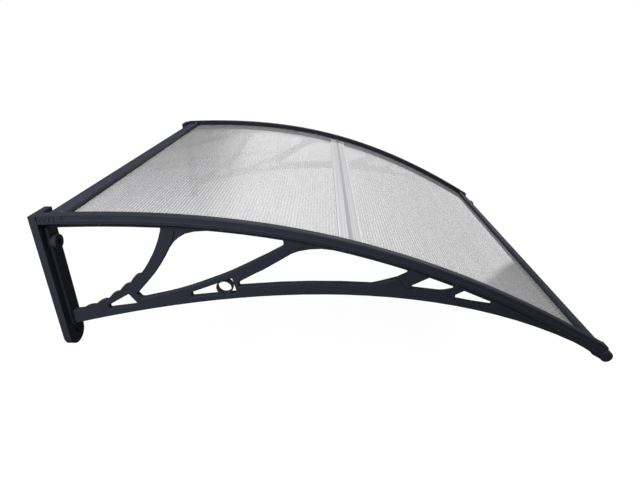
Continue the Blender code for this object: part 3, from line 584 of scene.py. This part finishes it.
@dataclass
class TwinWallSheet:
    """One twin-wall sheet: two skins with ribs between them, and flutes along the wall.

    The flutes are open at both sides.
    """

    node: str
    finish: bpy.types.Material
    thickness: float = 5.0 * MM
    skin: float = 0.5 * MM
    rib: float = 0.4 * MM
    pitch: float = 5.8 * MM

    def build(self) -> bpy.types.Object:
        """Draw the sheet's section and extrude it along the wall.

        Returns:
            The piece that stands for the sheet.
        """
        low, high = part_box(self.node)
        places = ROOF.places(-high.y, -low.y, self.pitch)
        work = bmesh.new()
        columns = [self.column(work, point, normal, low.x) for point, normal in places]
        for column in columns:
            for upper, lower in zip(column, column[1:]):
                work.faces.new((upper[0], upper[1], lower[1], lower[0]))
        for here, after in zip(columns, columns[1:]):
            for first in (0, 2):
                work.faces.new((here[first][1], after[first][0],
                                after[first + 1][0], here[first + 1][1]))
        grown = bmesh.ops.extrude_face_region(work, geom=work.faces[:])["geom"]
        moved = [item for item in grown if isinstance(item, bmesh.types.BMVert)]
        bmesh.ops.translate(work, vec=(high.x - low.x, 0.0, 0.0), verts=moved)
        bmesh.ops.recalc_face_normals(work, faces=work.faces)
        self.count_flutes(work, places)
        return put_in_scene(self.node + "_twin_wall", work, self.finish,
                            [self.node])

    def column(self, work: bmesh.types.BMesh, point: Vector, normal: Vector,
               side: float) -> list[tuple[bmesh.types.BMVert, bmesh.types.BMVert]]:
        """Place the corner points of one rib, from the upper skin down to the lower one.

        Args:
            work: Mesh that takes the points.
            point: Place of the rib on the roof's curve.
            normal: Direction square off the curve.
            side: Place along the wall.

        Returns:
            Pairs of points on the rib's two sides.
        """
        across = Vector((normal.y, -normal.x)) * self.rib / 2
        depths = (0.0, self.skin, self.thickness - self.skin, self.thickness)
        pairs = []
        for depth in depths:
            middle = point - normal * depth
            pairs.append(tuple(work.verts.new((side, -spot.x, spot.y))
                               for spot in (middle - across, middle + across)))
        return pairs

    def count_flutes(self, work: bmesh.types.BMesh,
                     places: Sequence[tuple[Vector, Vector]]) -> None:
        """Write a UV map: U counts flutes from the rear edge, V is the place along the wall.

        Args:
            work: The finished sheet.
            places: Points and normals of the roof's curve, a flute apart.
        """
        flutes = work.loops.layers.uv.new("flutes")
        reaches = [point.x for point, _ in places]
        for face in work.faces:
            for loop in face.loops:
                reach = -loop.vert.co.y
                spot = min(max(bisect(reaches, reach) - 1, 0), len(reaches) - 2)
                share = (reach - reaches[spot]) / (reaches[spot + 1] - reaches[spot])
                loop[flutes].uv = (spot + share, loop.vert.co.x)


@dataclass
class Canopy:
    """The whole canopy, piece by piece, and how far each kind of piece has its edges rounded."""

    finishes: Finishes = field(default_factory=Finishes)
    moulded_edge: float = 0.5 * MM
    rail_edge: float = 0.4 * MM
    seal_edge: float = 0.2 * MM
    clear_edge: float = 0.3 * MM
    screw_edge: float = 0.2 * MM

    def brackets(self) -> None:
        """Dress the two bracket mouldings."""
        for side in Side:
            CastPiece(f"bracket_{side.word}", "moulded_plastic", self.finishes.plastic,
                      self.moulded_edge).build()

    def cover_strips(self) -> None:
        """Dress the two cover strips."""
        for side in Side:
            CastPiece(f"cover_strip_{side.word}", "moulded_plastic", self.finishes.plastic,
                      self.moulded_edge).build()

    def rails(self) -> None:
        """Dress the rails and their seals."""
        for rail in Rail:
            CastPiece(f"{rail.value}_rail", "rail_aluminium", self.finishes.coated,
                      self.rail_edge).build()
            CastPiece(f"{rail.value}_rail_gasket", "black_rubber", self.finishes.rubber,
                      self.seal_edge).build()

    def sheets(self) -> None:
        """Build the two sheets and dress the joint strip."""
        for node in ("sheet_rear", "sheet_front"):
            TwinWallSheet(node, self.finishes.sheet).build()
        CastPiece("joint_strip", "clear_strip", self.finishes.clear, self.clear_edge).build()

    def screws(self) -> None:
        """Dress every screw."""
        for name in sorted(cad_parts):
            if "screw" in name:
                CastPiece(name, "zinc_steel", self.finishes.zinc, self.screw_edge).build()

    def build(self) -> None:
        """Build every sub-assembly in order."""
        self.brackets()
        self.cover_strips()
        self.rails()
        self.sheets()
        self.screws()


@dataclass(frozen=True)
class Softbox:
    """A large rectangular lamp that lights the canopy, hidden from the eye and in gloss."""

    name: str
    place: tuple[float, float, float]
    target: tuple[float, float, float]
    size: tuple[float, float]
    power: float

    def build(self) -> None:
        """Hang the lamp and turn it towards its target."""
        lamp = bpy.data.lights.new(self.name, "AREA")
        lamp.shape = "RECTANGLE"
        lamp.size, lamp.size_y = self.size
        lamp.energy = self.power
        held = bpy.data.objects.new(self.name, lamp)
        held.location = self.place
        aim = Vector(self.target) - Vector(self.place)
        held.rotation_euler = aim.to_track_quat("-Z", "Y").to_euler()
        held.visible_camera = False
        held.visible_glossy = False
        bpy.context.scene.collection.objects.link(held)


@dataclass(frozen=True)
class Viewpoint:
    """The camera, at the photograph's viewing angle. Angles are in degrees, the lens in mm."""

    place: tuple[float, float, float] = (-1.0723, -0.4665, 0.2656)
    yaw: float = -0.363
    pitch: float = 24.824
    lens: float = 24.394
    sensor: float = 36.0
    nearest: float = 0.05

    def build(self) -> None:
        """Set up the camera looking along +X and down."""
        yaw, pitch = radians(self.yaw), radians(self.pitch)
        ahead = Vector((cos(yaw) * cos(pitch), -sin(yaw) * cos(pitch), -sin(pitch)))
        right = Vector((-sin(yaw), -cos(yaw), 0.0))
        over = right.cross(ahead)
        camera = bpy.data.cameras.new("viewpoint")
        camera.lens = self.lens
        camera.sensor_width = self.sensor
        camera.clip_start = self.nearest
        held = bpy.data.objects.new("viewpoint", camera)
        turn = Matrix((right, over, -ahead)).transposed()
        held.matrix_world = Matrix.Translation(self.place) @ turn.to_4x4()
        bpy.context.scene.collection.objects.link(held)
        bpy.context.scene.camera = held


@dataclass(frozen=True)
class Sweep:
    """The studio's white sweep as the canopy's gloss shows it.

    It stands behind the canopy as the camera sees it, from start to end round the upright axis and
    up to top. Angles are in degrees, start and end from +X towards -Y. The blurs are the soft
    edges, as sines of the angle past the edge. Past the sweep the room is dim in gloss.
    """

    start: float = -10.0
    end: float = 36.0
    top: float = 24.0
    start_blur: tuple[float, float] = (-0.08, 0.08)
    end_blur: tuple[float, float] = (-0.010, 0.014)
    top_blur: tuple[float, float] = (-0.05, 0.07)
    above_top: float = 0.2
    glow: float = 1.0
    dim: float = 0.17

    def brightness(self, tree: bpy.types.NodeTree,
                   direction: bpy.types.NodeSocket) -> bpy.types.NodeSocket:
        """Work out the studio's brightness in gloss for a direction out from the canopy.

        Args:
            tree: Node tree that takes the nodes.
            direction: Socket that gives the direction.

        Returns:
            Socket with the brightness.
        """
        end, start, top = radians(self.end), radians(self.start), sin(radians(self.top))
        past_end = add_node(tree, "ShaderNodeVectorMath", {1: (sin(end), cos(end), 0.0)},
                            {0: direction}, operation="DOT_PRODUCT")
        before_end = add_node(tree, "ShaderNodeMapRange",
                              {"From Min": self.end_blur[0], "From Max": self.end_blur[1]},
                              {"Value": past_end.outputs["Value"]},
                              interpolation_type="SMOOTHSTEP")
        past_start = add_node(tree, "ShaderNodeVectorMath", {1: (-sin(start), -cos(start), 0.0)},
                              {0: direction}, operation="DOT_PRODUCT")
        after_start = add_node(tree, "ShaderNodeMapRange",
                               {"From Min": self.start_blur[0], "From Max": self.start_blur[1]},
                               {"Value": past_start.outputs["Value"]},
                               interpolation_type="SMOOTHSTEP")
        within = add_node(tree, "ShaderNodeMath",
                          links={0: before_end.outputs["Result"],
                                 1: after_start.outputs["Result"]}, operation="MULTIPLY")
        height = add_node(tree, "ShaderNodeSeparateXYZ", links={"Vector": direction})
        below_top = add_node(tree, "ShaderNodeMapRange",
                             {"From Min": top + self.top_blur[0],
                              "From Max": top + self.top_blur[1],
                              "To Min": 1.0, "To Max": self.above_top},
                             {"Value": height.outputs["Z"]}, interpolation_type="SMOOTHSTEP")
        lit = add_node(tree, "ShaderNodeMath",
                       links={0: within.outputs["Value"], 1: below_top.outputs["Result"]},
                       operation="MULTIPLY")
        level = add_node(tree, "ShaderNodeMapRange", {"To Min": self.dim, "To Max": self.glow},
                         {"Value": lit.outputs["Value"]})
        return level.outputs["Result"]


def shown(tree: bpy.types.NodeTree, light: float, gloss: bpy.types.NodeSocket,
          eye: bpy.types.NodeSocket | None = None) -> bpy.types.NodeSocket:
    """Choose a strength by the kind of ray.

    Args:
        tree: Node tree that takes the nodes.
        light: Strength that lights the object.
        gloss: Strength seen in gloss.
        eye: Strength that the camera and clear pieces see, plain white if left out.

    Returns:
        Socket with the strength.
    """
    rays = add_node(tree, "ShaderNodeLightPath")
    glossy = add_node(tree, "ShaderNodeMix", {"A": light},
                      {"Factor": rays.outputs["Is Glossy Ray"], "B": gloss})
    seen = add_node(tree, "ShaderNodeMath",
                    links={0: rays.outputs["Is Camera Ray"],
                           1: rays.outputs["Is Transmission Ray"]}, operation="MAXIMUM")
    chosen = add_node(tree, "ShaderNodeMix", {"B": 1.0},
                      {"Factor": seen.outputs["Value"], "A": glossy.outputs["Result"]})
    if eye is not None:
        tree.links.new(eye, chosen.inputs["B"])
    return chosen.outputs["Result"]


@dataclass(frozen=True)
class Floor:
    """The studio's pale floor: white to the eye, a little less so under the canopy.

    The two reaches are distances from middle. In gloss the floor is dark up to the near one, and
    the sweep shows in full from mirror_reach on.
    """

    height: float = -0.62
    size: float = 60.0
    colour: str = "#606060"
    roughness: float = 0.9
    middle: tuple[float, float, float] = (-0.1, -0.9, 0.0)
    near_glow: float = 0.93
    near_reach: float = 1.2
    far_reach: float = 3.0
    mirror_reach: float = 2.4

    def material(self, sweep: Sweep) -> bpy.types.Material:
        """Build the floor's paint.

        Args:
            sweep: The sweep that the floor carries in gloss.

        Returns:
            The material, which keeps the canopy's shadow.
        """
        made, tree, shader = new_material("painted_studio_floor")
        shader.inputs["Base Color"].default_value = linear(self.colour)
        shader.inputs["Roughness"].default_value = self.roughness
        shader.inputs["Specular IOR Level"].default_value = 0.0
        shader.inputs["Emission Color"].default_value = WHITE
        place = add_node(tree, "ShaderNodeTexCoord").outputs["Object"]
        out = add_node(tree, "ShaderNodeVectorMath", {1: self.middle}, {0: place},
                       operation="SUBTRACT")
        flat = add_node(tree, "ShaderNodeVectorMath", {1: (1.0, 1.0, 0.0)},
                        {0: out.outputs["Vector"]}, operation="MULTIPLY")
        away = add_node(tree, "ShaderNodeVectorMath", links={0: flat.outputs["Vector"]},
                        operation="LENGTH")
        unit = add_node(tree, "ShaderNodeVectorMath", links={0: flat.outputs["Vector"]},
                        operation="NORMALIZE")
        glow = add_node(tree, "ShaderNodeMapRange",
                        {"From Min": self.near_reach, "From Max": self.far_reach,
                         "To Min": self.near_glow, "To Max": 1.0},
                        {"Value": away.outputs["Value"]}, interpolation_type="SMOOTHSTEP")
        far = add_node(tree, "ShaderNodeMapRange",
                       {"From Min": self.near_reach, "From Max": self.mirror_reach},
                       {"Value": away.outputs["Value"]})
        mirrored = add_node(tree, "ShaderNodeMath",
                            links={0: sweep.brightness(tree, unit.outputs["Vector"]),
                                   1: far.outputs["Result"]}, operation="MULTIPLY")
        strength = shown(tree, 0.0, mirrored.outputs["Value"], glow.outputs["Result"])
        tree.links.new(strength, shader.inputs["Emission Strength"])
        return made

    def build(self, sweep: Sweep) -> None:
        """Lay the floor.

        Args:
            sweep: The sweep that the floor carries in gloss.
        """
        work = bmesh.new()
        bmesh.ops.create_grid(work, x_segments=1, y_segments=1, size=self.size / 2)
        bmesh.ops.translate(work, vec=(0.0, 0.0, self.height), verts=work.verts)
        mesh = bpy.data.meshes.new("studio_floor")
        work.to_mesh(mesh)
        work.free()
        mesh.materials.append(self.material(sweep))
        laid = bpy.data.objects.new("studio_floor", mesh)
        bpy.context.scene.collection.objects.link(laid)


@dataclass(frozen=True)
class Room:
    """The world round the studio: white to the eye, with a soft ambient light.

    In gloss it shows the sweep, and a glow on the camera's side, which comes up between the two
    values of near_side along X.
    """

    ambient: float = 0.08
    glow: float = 0.55
    near_side: tuple[float, float] = (-0.1, -0.6)

    def build(self, sweep: Sweep) -> None:
        """Set up the world.

        Args:
            sweep: The sweep that the world carries in gloss.
        """
        room = bpy.data.worlds.new("studio_room")
        bpy.context.scene.world = room
        room.use_nodes = True
        tree = room.node_tree
        back = tree.nodes["Background"]
        back.inputs["Color"].default_value = WHITE
        direction = add_node(tree, "ShaderNodeTexCoord").outputs["Generated"]
        parts = add_node(tree, "ShaderNodeSeparateXYZ", links={"Vector": direction})
        near_side = add_node(tree, "ShaderNodeMapRange",
                             {"From Min": self.near_side[0], "From Max": self.near_side[1],
                              "To Max": self.glow}, {"Value": parts.outputs["X"]})
        gloss = add_node(tree, "ShaderNodeMath",
                         links={0: sweep.brightness(tree, direction),
                                1: near_side.outputs["Result"]}, operation="MAXIMUM")
        strength = shown(tree, self.ambient, gloss.outputs["Value"])
        tree.links.new(strength, back.inputs["Strength"])


@dataclass(frozen=True)
class Studio:
    """Plain white studio: floor, room and three soft lamps."""

    sweep: Sweep = Sweep()
    floor: Floor = Floor()
    room: Room = Room()
    lamps: tuple[Softbox, ...] = (
        Softbox("overhead_softbox", place=(-0.1, -1.0, 2.15), target=(0.0, -0.5, 0.0),
                size=(2.8, 2.4), power=56.0),
        Softbox("camera_side_softbox", place=(-1.28, 0.12, 0.54), target=(-0.43, -0.24, 0.0),
                size=(0.6, 0.4), power=19.0),
        Softbox("far_side_softbox", place=(1.3, -0.5, 2.3), target=(0.0, -0.5, -0.1),
                size=(1.2, 1.0), power=12.0),
    )

    def build(self) -> None:
        """Set up the floor, the world and the lamps."""
        bpy.context.scene.view_settings.view_transform = "Standard"
        self.floor.build(self.sweep)
        self.room.build(self.sweep)
        for lamp in self.lamps:
            lamp.build()


def main() -> None:
    """Build the canopy and its studio."""
    logging.basicConfig(level=logging.INFO, format="%(name)s: %(message)s")
    Viewpoint().build()
    Studio().build()
    Canopy().build()


if __name__ == "__main__":
    main()
